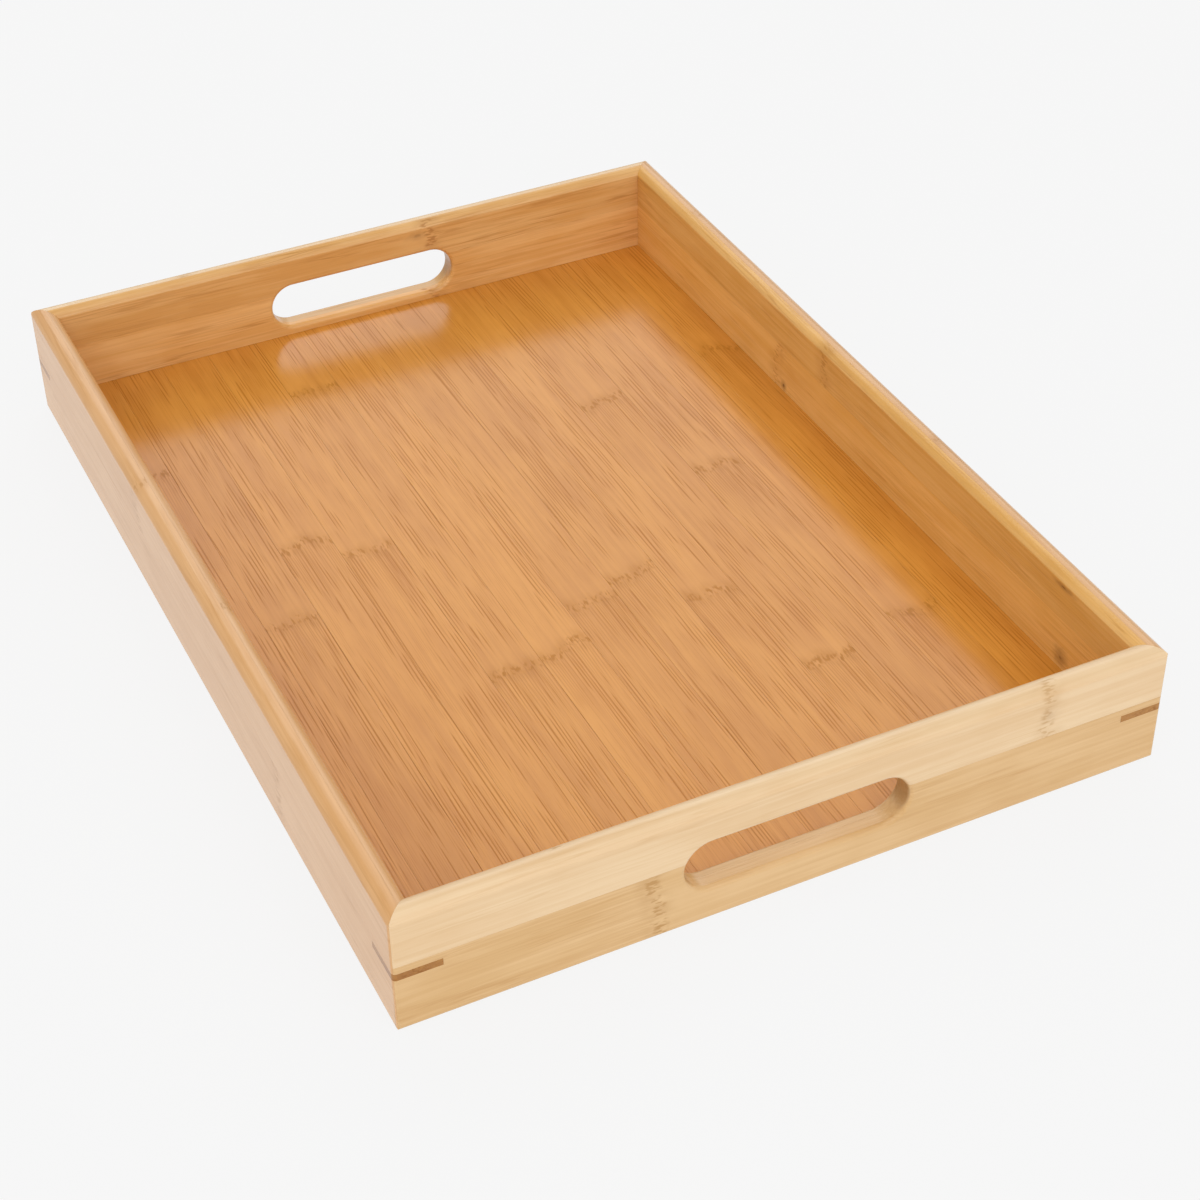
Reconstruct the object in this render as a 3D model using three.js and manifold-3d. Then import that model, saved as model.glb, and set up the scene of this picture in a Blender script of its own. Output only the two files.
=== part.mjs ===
// Bamboo serving tray: four mitred rails around a base panel, with a hand slot through each short rail.
//
// Frame: millimetres, +Z up. The origin is the middle of the footprint, on the surface the tray stands on.
// X runs across the tray, along the two short rails that carry the hand slots. Y runs along the tray.
//
// Every board is laminated from bamboo strips. A rail has an outer and an inner ply, and each ply is an
// upper and a lower strip. The base panel is one layer of strips glued edge to edge. Its edges sit in a
// groove round the inside of the rails. A triangular key, glued into a slot, ties each mitred corner.

import * as THREE from 'three';
import { mergeVertices } from 'three/addons/utils/BufferGeometryUtils.js';
import Module from 'manifold-3d';

// Overall sizes
const trayLength = 420;
const trayWidth = 305;
const railHeight = 52;
const railThickness = 10;

// Rail section: a crowned top and eased bottom edges
const crownRise = 3;
const bottomEdgeRadius = 1.5;
const cornerRadius = 1.5;

// Lamination of the rails
const outerPlyThickness = 6;
const outerJointHeight = 30;
const innerJointHeight = 33;
const glueLine = 0.1;

// Base panel and the groove that holds it
const baseTopHeight = 11;
const baseThickness = 5;
const baseStripCount = 13;
const grooveWall = 1;
const grooveEndClearance = 0.4;
const grooveSideClearance = 0.1;

// Hand slots: a stadium outline with rounded edges on both faces
const slotLength = 89;
const slotHeight = 21;
const slotCentreHeight = 25.5;
const slotEdgeRadius = 2;

// Corner keys
const keyThickness = 3;
const keyCentreHeight = 25.5;
const keyCornerWall = 1.4;
const keyClearance = 0.1;

// Facets
const arcSegments = 10;
const slotEndSegments = 32;
const slotEdgeSegments = 4;

// How far a cutting tool reaches past the wood that it cuts
const overshoot = 1;

// Values that follow from the sizes above
const crownRadius = (railThickness ** 2 / 4 + crownRise ** 2) / (2 * crownRise);
const springHeight = railHeight - crownRise;
const innerPlyStart = outerPlyThickness + glueLine;
const grooveDepth = railThickness - innerPlyStart - grooveWall;
const grooveSeat = grooveDepth - grooveEndClearance;
const baseBottomHeight = baseTopHeight - baseThickness;
const panelWidth = trayWidth - 2 * railThickness + 2 * grooveSeat;
const panelLength = trayLength - 2 * railThickness + 2 * grooveSeat;
const baseStripPitch = (panelWidth + glueLine) / baseStripCount;
const keyLeg = 2 * railThickness - Math.SQRT2 * keyCornerWall;
const quarterTurn = Math.PI / 2;

const finishes = {
  railUpper: { color: '#e9cc9c', roughness: 0.35, metalness: 0 },
  railLower: { color: '#e3ba86', roughness: 0.35, metalness: 0 },
  base: { color: '#cf9154', roughness: 0.2, metalness: 0 },
  key: { color: '#a9743a', roughness: 0.4, metalness: 0 },
};

const wasm = await Module();
wasm.setup();

function solidFrom(geometry) {
  const bare = geometry.clone();
  bare.deleteAttribute('normal');
  bare.deleteAttribute('uv');
  const merged = mergeVertices(bare, 1e-5);
  return new wasm.Manifold(new wasm.Mesh({
    numProp: 3,
    vertProperties: new Float32Array(merged.attributes.position.array),
    triVerts: new Uint32Array(merged.index.array),
  }));
}

function geometryFrom(solid) {
  const { vertProperties, triVerts } = solid.getMesh();
  const geometry = new THREE.BufferGeometry();
  geometry.setAttribute('position', new THREE.BufferAttribute(vertProperties, 3));
  geometry.setIndex(new THREE.BufferAttribute(triVerts, 1));
  geometry.computeVertexNormals();
  return geometry;
}

function boxBetween(low, high) {
  const size = new THREE.Vector3().subVectors(high, low);
  const centre = new THREE.Vector3().addVectors(low, high).multiplyScalar(0.5);
  return new THREE.BoxGeometry(size.x, size.y, size.z).translate(centre.x, centre.y, centre.z);
}

function prism(shape, low, high) {
  const options = { depth: high - low, bevelEnabled: false, curveSegments: arcSegments };
  return new THREE.ExtrudeGeometry(shape, options).translate(0, 0, low);
}

// A rail is worked in its own frame: x along it from its middle, y from its outer face (0) to its inner
// face (railThickness), z up.

function railSection() {
  const shape = new THREE.Shape();
  const r = bottomEdgeRadius;
  const springAngle = Math.atan2(crownRadius - crownRise, railThickness / 2);
  shape.moveTo(r, 0);
  shape.lineTo(railThickness - r, 0);
  shape.absarc(railThickness - r, r, r, -quarterTurn, 0);
  shape.lineTo(railThickness, springHeight);
  shape.absarc(railThickness / 2, railHeight - crownRadius, crownRadius, springAngle, Math.PI - springAngle);
  shape.lineTo(0, r);
  shape.absarc(r, r, r, Math.PI, 3 * quarterTurn);
  return shape;
}

function railBlank(length) {
  const alongX = new THREE.Matrix4().makeBasis(
    new THREE.Vector3(0, 1, 0),
    new THREE.Vector3(0, 0, 1),
    new THREE.Vector3(1, 0, 0),
  );
  const blank = prism(railSection(), -length / 2, length / 2).applyMatrix4(alongX);
  return solidFrom(blank);
}

// The tray's outline with rounded corners, as a rail sees it: its own outer face lies on y = 0.
function outlineSolid(length, depth) {
  const r = cornerRadius;
  const x = length / 2;
  const shape = new THREE.Shape();
  shape.moveTo(-x + r, 0);
  shape.absarc(x - r, r, r, -quarterTurn, 0);
  shape.absarc(x - r, depth - r, r, 0, quarterTurn);
  shape.absarc(-x + r, depth - r, r, quarterTurn, Math.PI);
  shape.absarc(-x + r, r, r, Math.PI, 3 * quarterTurn);
  return solidFrom(prism(shape, -overshoot, railHeight + overshoot));
}

function mitreSolid(length) {
  const shift = glueLine / Math.SQRT2;
  const outerX = length / 2 + overshoot - shift;
  const innerX = length / 2 - railThickness - overshoot - shift;
  const shape = new THREE.Shape();
  shape.moveTo(-outerX, -overshoot);
  shape.lineTo(outerX, -overshoot);
  shape.lineTo(innerX, railThickness + overshoot);
  shape.lineTo(-innerX, railThickness + overshoot);
  return solidFrom(prism(shape, -overshoot, railHeight + overshoot));
}

function grooveCutter(length) {
  const low = new THREE.Vector3(-length, railThickness - grooveDepth, baseBottomHeight - grooveSideClearance);
  const high = new THREE.Vector3(length, railThickness + overshoot, baseTopHeight + grooveSideClearance);
  return solidFrom(boxBetween(low, high));
}

// Half-height of the hand slot at each depth through the rail, from outside the outer face inwards.
function slotProfile() {
  const r = slotHeight / 2;
  const e = slotEdgeRadius;
  const points = [new THREE.Vector2(r + e, -overshoot)];
  for (let i = 0; i <= slotEdgeSegments; i += 1) {
    const angle = (quarterTurn * i) / slotEdgeSegments;
    points.push(new THREE.Vector2(r + e - e * Math.sin(angle), e - e * Math.cos(angle)));
  }
  const mirrored = points.map((p) => new THREE.Vector2(p.x, railThickness - p.y)).reverse();
  return [...points, ...mirrored];
}

function handSlotCutter() {
  const profile = slotProfile();
  const halfStraight = (slotLength - slotHeight) / 2;
  const latheProfile = [
    new THREE.Vector2(0, -overshoot),
    ...profile,
    new THREE.Vector2(0, railThickness + overshoot),
  ];
  const end = new THREE.LatheGeometry(latheProfile, slotEndSegments);
  const leftSide = profile.map((p) => new THREE.Vector2(-p.x, p.y)).reverse();
  const section = new THREE.Shape([...profile, ...leftSide]);
  const middle = prism(section, -halfStraight, halfStraight).rotateY(quarterTurn);
  return solidFrom(middle)
    .add(solidFrom(end.clone().translate(-halfStraight, 0, 0)))
    .add(solidFrom(end.clone().translate(halfStraight, 0, 0)))
    .translate([0, 0, slotCentreHeight]);
}

// A right-angled triangle in plan whose legs lie along the two outer faces that meet at the corner.
function keyTriangle(leg) {
  const shape = new THREE.Shape();
  shape.moveTo(-overshoot, -overshoot);
  shape.lineTo(leg + overshoot, -overshoot);
  shape.lineTo(-overshoot, leg + overshoot);
  return shape;
}

function keySlotCutter(length) {
  const halfThickness = keyThickness / 2 + keyClearance;
  const outline = keyTriangle(keyLeg + keyClearance * Math.SQRT2);
  const cutter = prism(outline, keyCentreHeight - halfThickness, keyCentreHeight + halfThickness);
  const left = solidFrom(cutter.translate(-length / 2, 0, 0));
  return left.add(left.mirror([1, 0, 0]));
}

function cornerKey() {
  const low = keyCentreHeight - keyThickness / 2;
  const blank = solidFrom(prism(keyTriangle(keyLeg), low, low + keyThickness));
  const outline = outlineSolid(trayWidth, trayLength).translate([trayWidth / 2, 0, 0]);
  return geometryFrom(blank.intersect(outline));
}

// The four strips of one rail's lamination, as spans of depth and height through its section.
function railStripSpans() {
  const halfGlue = glueLine / 2;
  const top = railHeight + overshoot;
  return [
    { name: 'outer_upper', depth: [0, outerPlyThickness], height: [outerJointHeight + halfGlue, top] },
    { name: 'outer_lower', depth: [0, outerPlyThickness], height: [0, outerJointHeight - halfGlue] },
    { name: 'inner_upper', depth: [innerPlyStart, railThickness], height: [innerJointHeight + halfGlue, top] },
    { name: 'inner_lower', depth: [innerPlyStart, railThickness], height: [0, innerJointHeight - halfGlue] },
  ];
}

function railStripSolid(rail, span) {
  const low = new THREE.Vector3(-rail.length, span.depth[0], span.height[0]);
  const high = new THREE.Vector3(rail.length, span.depth[1], span.height[1]);
  return rail.solid.intersect(solidFrom(boxBetween(low, high)));
}

function railSolid(length, depth, hasHandSlot) {
  const shaped = railBlank(length).intersect(mitreSolid(length)).intersect(outlineSolid(length, depth));
  const grooved = shaped.subtract(grooveCutter(length)).subtract(keySlotCutter(length));
  return hasHandSlot ? grooved.subtract(handSlotCutter()) : grooved;
}

function namedMesh(name, geometry, finish) {
  const mesh = new THREE.Mesh(geometry, new THREE.MeshStandardMaterial(finish));
  mesh.name = name;
  return mesh;
}

function buildRail({ name, length, depth, turn, hasHandSlot }) {
  const rail = new THREE.Group();
  const blank = { length, solid: railSolid(length, depth, hasHandSlot) };
  for (const span of railStripSpans()) {
    const finish = span.name.endsWith('upper') ? finishes.railUpper : finishes.railLower;
    const geometry = geometryFrom(railStripSolid(blank, span));
    rail.add(namedMesh(`${name}_rail_${span.name}_strip`, geometry, finish));
  }
  rail.rotation.z = turn;
  rail.position.set((Math.sin(turn) * depth) / 2, (-Math.cos(turn) * depth) / 2, 0);
  return rail;
}

function buildBasePanel() {
  const panel = new THREE.Group();
  const stripWidth = baseStripPitch - glueLine;
  for (let i = 0; i < baseStripCount; i += 1) {
    const strip = new THREE.BoxGeometry(stripWidth, panelLength, baseThickness);
    const number = String(i + 1).padStart(2, '0');
    const mesh = namedMesh(`base_strip_${number}`, strip, finishes.base);
    mesh.position.set((i - (baseStripCount - 1) / 2) * baseStripPitch, 0, baseTopHeight - baseThickness / 2);
    panel.add(mesh);
  }
  return panel;
}

function buildCornerKeys() {
  const keys = new THREE.Group();
  const x = trayWidth / 2;
  const y = trayLength / 2;
  const corners = [
    { name: 'front_left', x: -x, y: -y, turn: 0 },
    { name: 'front_right', x, y: -y, turn: quarterTurn },
    { name: 'back_right', x, y, turn: 2 * quarterTurn },
    { name: 'back_left', x: -x, y, turn: 3 * quarterTurn },
  ];
  for (const corner of corners) {
    const key = namedMesh(`${corner.name}_corner_key`, cornerKey(), finishes.key);
    key.position.set(corner.x, corner.y, 0);
    key.rotation.z = corner.turn;
    keys.add(key);
  }
  return keys;
}

const rails = [
  { name: 'front', length: trayWidth, depth: trayLength, turn: 0, hasHandSlot: true },
  { name: 'right', length: trayLength, depth: trayWidth, turn: quarterTurn, hasHandSlot: false },
  { name: 'back', length: trayWidth, depth: trayLength, turn: 2 * quarterTurn, hasHandSlot: true },
  { name: 'left', length: trayLength, depth: trayWidth, turn: 3 * quarterTurn, hasHandSlot: false },
];

const group = new THREE.Group();
for (const rail of rails) {
  group.add(buildRail(rail));
}
group.add(buildBasePanel());
group.add(buildCornerKeys());

export default group;
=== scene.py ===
"""A laminated bamboo serving tray: mitred rails, corner keys and a lacquered base panel.

Every strip of bamboo is a piece of its own, modelled where the fixed frame puts it, and has its own
grain. Metres, +Z up, X across the tray and Y along it, as in the frame.
"""

import logging
import math
from collections.abc import Callable, Iterator
from contextlib import contextmanager
from dataclasses import dataclass
from enum import Enum
from typing import ClassVar

import bmesh
import bpy
from mathutils import Matrix, Vector


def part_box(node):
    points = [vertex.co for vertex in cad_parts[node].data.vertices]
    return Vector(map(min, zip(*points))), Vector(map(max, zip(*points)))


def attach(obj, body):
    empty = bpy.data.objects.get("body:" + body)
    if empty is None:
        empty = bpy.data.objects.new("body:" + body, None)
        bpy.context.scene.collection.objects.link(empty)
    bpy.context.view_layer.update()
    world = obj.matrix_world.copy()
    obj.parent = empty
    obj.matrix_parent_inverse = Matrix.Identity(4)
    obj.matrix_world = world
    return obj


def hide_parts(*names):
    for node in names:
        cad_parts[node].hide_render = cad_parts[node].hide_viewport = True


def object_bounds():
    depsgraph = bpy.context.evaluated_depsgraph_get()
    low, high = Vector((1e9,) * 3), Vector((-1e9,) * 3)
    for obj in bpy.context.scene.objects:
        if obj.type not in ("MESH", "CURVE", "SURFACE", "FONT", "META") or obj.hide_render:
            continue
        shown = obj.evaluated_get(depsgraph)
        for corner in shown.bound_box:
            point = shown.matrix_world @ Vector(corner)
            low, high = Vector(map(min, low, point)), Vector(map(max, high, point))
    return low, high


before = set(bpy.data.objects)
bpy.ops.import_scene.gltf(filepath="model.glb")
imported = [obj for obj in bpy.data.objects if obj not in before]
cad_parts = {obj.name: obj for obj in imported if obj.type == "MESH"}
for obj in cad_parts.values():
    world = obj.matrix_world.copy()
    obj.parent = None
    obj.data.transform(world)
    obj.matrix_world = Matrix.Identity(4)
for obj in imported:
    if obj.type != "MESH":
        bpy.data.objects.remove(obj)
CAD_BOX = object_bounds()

LOG = logging.getLogger("serving_tray")

MM = 0.001
BODY = "root"
HAIRLINE = 0.04 * MM
WELD = 1e-6
PLANE = 1e-7
NEAR = 0.01 * MM
PAST = MM
CORNER_RADIUS = 1.6 * MM

Colour = tuple[float, float, float]
Triple = tuple[float, float, float]
Piece = bpy.types.Object
Socket = bpy.types.NodeSocket
StripSet = dict[tuple["Ply", "Level"], Piece]


class Side(Enum):
    """The four rails, each with the quarter turns that bring it round from the front."""

    FRONT = 0
    RIGHT = 1
    BACK = 2
    LEFT = 3

    @property
    def label(self) -> str:
        """The side's name in the frame's node names."""
        return self.name.lower()

    @property
    def turn(self) -> float:
        """The angle about +Z from the front rail's place to this one's."""
        return self.value * math.pi / 2

    @property
    def is_short(self) -> bool:
        """Whether this is one of the two short rails, which carry the hand slots."""
        return self in (Side.FRONT, Side.BACK)


class Ply(Enum):
    """The two layers of a rail's thickness."""

    OUTER = "outer"
    INNER = "inner"


class Level(Enum):
    """The two strips of one layer's height."""

    UPPER = "upper"
    LOWER = "lower"


class Slot(Enum):
    """Names for the tray's material slots."""

    RAIL_UPPER = "rail_upper_bamboo"
    RAIL_LOWER = "rail_lower_bamboo"
    BASE = "base_bamboo"
    KEY = "key_wood"


# ---- Bench tools: small wrappers round the modelling operators ----


def deselect_all() -> None:
    """Leaves nothing selected."""
    bpy.ops.object.select_all(action="DESELECT")


def take(piece: Piece) -> None:
    """Makes a piece the only one selected, and the active one.

    Args:
        piece: The object to work on.
    """
    deselect_all()
    piece.select_set(True)
    bpy.context.view_layer.objects.active = piece


@contextmanager
def editing(piece: Piece, mode: str = "VERT", pick: str = "DESELECT") -> Iterator[bmesh.types.BMesh]:
    """Opens a piece in edit mode with nothing or all of it selected, and closes it again.

    Args:
        piece: The mesh object to edit.
        mode: The select mode: VERT, EDGE or FACE.
        pick: DESELECT for nothing or SELECT for all.

    Yields:
        The mesh under edit, for selecting by place.
    """
    take(piece)
    bpy.ops.object.mode_set(mode="EDIT")
    bpy.ops.mesh.select_mode(type=mode)
    bpy.ops.mesh.select_all(action=pick)
    yield bmesh.from_edit_mesh(piece.data)
    bpy.ops.object.mode_set(mode="OBJECT")


def pick_verts(mesh: bmesh.types.BMesh, test: Callable[[Vector], bool]) -> None:
    """Selects the vertices whose place passes a test, and the edges and faces between them.

    Args:
        mesh: The mesh under edit.
        test: Says of a point whether it is wanted.
    """
    for vert in mesh.verts:
        vert.select_set(test(vert.co))
    mesh.select_flush(True)


def pick_edges(mesh: bmesh.types.BMesh, test: Callable[[Vector, Vector], bool]) -> None:
    """Selects the edges whose two ends pass a test.

    Args:
        mesh: The mesh under edit, in edge select mode.
        test: Says of an edge's two ends whether the edge is wanted.
    """
    for edge in mesh.edges:
        if test(edge.verts[0].co, edge.verts[1].co):
            edge.select_set(True)


def apply_place(piece: Piece) -> None:
    """Moves a piece's location, turn and scale into its mesh."""
    take(piece)
    bpy.ops.object.transform_apply(location=True, rotation=True, scale=True)


def block(name: str, low: Vector, high: Vector) -> Piece:
    """Adds a box between two corners.

    Args:
        name: The new object's name.
        low: The lowest corner.
        high: The highest corner.

    Returns:
        The new object, at the origin, with its place in its mesh.
    """
    deselect_all()
    bpy.ops.mesh.primitive_cube_add(size=1, location=(low + high) / 2, scale=high - low)
    piece = bpy.context.active_object
    piece.name = name
    apply_place(piece)
    return piece


def copy_of(piece: Piece, name: str) -> Piece:
    """Copies an object with a mesh of its own.

    Args:
        piece: The object to copy.
        name: The copy's name.

    Returns:
        The copy.
    """
    take(piece)
    bpy.ops.object.duplicate(linked=False)
    made = bpy.context.active_object
    made.name = name
    return made


def remove(piece: Piece) -> None:
    """Deletes an object that was only a tool or a blank."""
    bpy.data.objects.remove(piece, do_unlink=True)


def merge_doubles(piece: Piece) -> None:
    """Merges the points of a mesh that lie in one place."""
    with editing(piece, pick="SELECT"):
        bpy.ops.mesh.remove_doubles(threshold=WELD)


def saw(piece: Piece, point: Vector, waste: Vector) -> None:
    """Cuts a piece with the plane at a point, closes the cut and drops the waste side."""
    with editing(piece, pick="SELECT"):
        bpy.ops.mesh.bisect(
            plane_co=point, plane_no=waste, use_fill=True, clear_outer=True, threshold=PLANE
        )


def combine(piece: Piece, tool: Piece, operation: str) -> None:
    """Cuts a piece with another solid, or keeps what they share, and puts the tool away.

    Args:
        piece: The object to change.
        tool: The other solid, which is deleted.
        operation: DIFFERENCE or INTERSECT.
    """
    take(piece)
    cut = piece.modifiers.new("cut", "BOOLEAN")
    cut.operation = operation
    cut.solver = "EXACT"
    cut.object = tool
    bpy.ops.object.modifier_apply(modifier=cut.name)
    remove(tool)


def finish_surface(piece: Piece, smooth_below: float = 32.0) -> None:
    """Cleans a mesh, points its faces outwards and shades its round stretches smooth.

    Args:
        piece: The object to finish.
        smooth_below: The angle in degrees below which neighbouring faces shade as one.
    """
    merge_doubles(piece)
    with editing(piece, pick="SELECT"):
        bpy.ops.mesh.normals_make_consistent(inside=False)
    take(piece)
    bpy.ops.object.shade_smooth_by_angle(angle=math.radians(smooth_below))
    weighted = piece.modifiers.new("even_shading", "WEIGHTED_NORMAL")
    weighted.keep_sharp = True
    bpy.ops.object.modifier_apply(modifier=weighted.name)


# ---- Finishes ----


@dataclass(frozen=True)
class Pattern:
    """A soft noise: its features' length and width in millimetres, its shift and its finer octaves."""

    long: float
    wide: float
    shift: float = 0.0
    detail: float = 2.0


KNUCKLE_ARCH = Pattern(400, 12, 3.1, detail=0.0)
KNUCKLE_TOOTH = Pattern(400, 1.7, 6.3, detail=0.0)
KNUCKLE_COMMAS = Pattern(3.6, 1.15, 4.4, detail=1.5)
KNUCKLE_STAIN = Pattern(10, 4.5, 7.7, detail=1.5)
BROAD_STREAKS = Pattern(90, 13)
NARROW_STREAKS = Pattern(120, 1.9, 5.7)
MOTTLE = Pattern(26, 12, 12.9)
CROWDING = Pattern(80, 6, 2.2, detail=1.0)
BREAKS = Pattern(26, 1.6, 11.4, detail=1.0)
BOLD_VESSELS = Pattern(75, 1.9, 1.3, detail=0.7)
FINE_VESSELS = Pattern(36, 1.1, 9.1, detail=0.7)
DENSE_VESSELS = Pattern(60, 1.3, 4.9, detail=0.7)
BOLD_COMB = Pattern(32, 1.45, 1.3, detail=1.5)
FINE_COMB = Pattern(20, 0.85, 9.1, detail=1.5)
DENSE_COMB = Pattern(50, 1.15, 4.9, detail=1.5)
KNOT_RIM = Pattern(3.6, 2.4, 8.2)


class ShaderBench:
    """Builds one material's node tree, a step at a time."""

    def __init__(self, name: str) -> None:
        """Starts an empty material.

        Args:
            name: The material's name.
        """
        self.material = bpy.data.materials.new(name)
        self.material.use_nodes = True
        self.tree = self.material.node_tree
        self.tree.nodes.clear()

    def node(self, kind: str, inputs: dict[str | int, object], **settings: object) -> bpy.types.Node:
        """Adds a node.

        Args:
            kind: The node's type name.
            inputs: What its input sockets are fed, by name or number.
            **settings: Properties to set on it.

        Returns:
            The node.
        """
        made = self.tree.nodes.new(kind)
        for key, value in settings.items():
            setattr(made, key, value)
        for key, value in inputs.items():
            self.feed(made.inputs[key], value)
        return made

    def feed(self, socket: Socket, value: object) -> None:
        """Links a socket to another node's output, or sets its value.

        Args:
            socket: The input socket.
            value: An output socket, a number, a vector or a colour.
        """
        if isinstance(value, Socket):
            self.tree.links.new(value, socket)
        elif socket.type == "RGBA" and len(value) == 3:
            socket.default_value = (*value, 1.0)
        else:
            socket.default_value = value

    def math(self, operation: str, *values: object, clamp: bool = False) -> Socket:
        """Works out a Math node's result from its inputs, held between 0 and 1 on request."""
        inputs = dict(enumerate(values))
        return self.node("ShaderNodeMath", inputs, operation=operation, use_clamp=clamp).outputs[0]

    def times(self, first: object, second: object) -> Socket:
        """The product of two values."""
        return self.math("MULTIPLY", first, second)

    def line(self, value: object, slope: float, start: object) -> Socket:
        """A value times a slope, from a start."""
        return self.math("MULTIPLY_ADD", value, slope, start)

    def rest(self, value: object) -> Socket:
        """What a value leaves of one."""
        return self.math("SUBTRACT", 1.0, value)

    def noise(self, vector: Socket, detail: float) -> Socket:
        """Reads a three-dimensional noise, about 0.5 on average, with some finer octaves."""
        inputs = {"Vector": vector, "Scale": 1.0, "Detail": detail}
        return self.node("ShaderNodeTexNoise", inputs, noise_dimensions="3D").outputs["Fac"]

    def span(self, value: Socket, low: float, high: float) -> Socket:
        """Maps a value smoothly from 0 at low to 1 at high."""
        inputs = {"Value": value, "From Min": low, "From Max": high}
        return self.node("ShaderNodeMapRange", inputs, interpolation_type="SMOOTHSTEP").outputs["Result"]

    def blend(self, amount: object, first: object, second: object) -> Socket:
        """Mixes two colours: the first at an amount of 0 and the second at 1."""
        inputs = {"Factor": amount, "A": first, "B": second}
        return self.node("ShaderNodeMix", inputs, data_type="RGBA", blend_type="MIX").outputs["Result"]

    def mapped(self, vector: Socket, scale: Triple, shift: Triple, turn: float = 0.0) -> Socket:
        """Scales a coordinate, turns it about Z and then shifts it."""
        inputs = {"Vector": vector, "Scale": scale, "Rotation": (0, 0, turn), "Location": shift}
        return self.node("ShaderNodeMapping", inputs, vector_type="POINT").outputs["Vector"]


@dataclass(frozen=True)
class BambooTone:
    """The colours and strengths of one batch of bamboo, as linear colours."""

    light: Colour
    deep: Colour
    fibre: Colour
    knuckle: Colour
    # Also the colour that end grain is darkened towards, which at the hand slots' ends is painted shade.
    knot: Colour = (0.15, 0.05, 0.015)
    fibre_strength: float = 0.55
    streak_strength: float = 0.35
    knuckle_strength: float = 0.6


@dataclass(frozen=True)
class Lacquer:
    """The clear coat that closes the grain."""

    roughness: float
    ior: float = 1.5
    grain_relief: float = 0.05


@dataclass(frozen=True)
class Knot:
    """A dark spot on a rail, in millimetres: its place along the grain, height, radius and stretch."""

    along: float
    up: float
    radius: float
    stretch: float = 1.0
    depth: float = 1.0


@dataclass(frozen=True)
class StripGrain:
    """What makes one strip differ from the next. Knuckles are millimetres along the grain."""

    seed: float
    knuckles: tuple[float, ...] = ()
    shade: float = 1.0
    knots: tuple[Knot, ...] = ()


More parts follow.
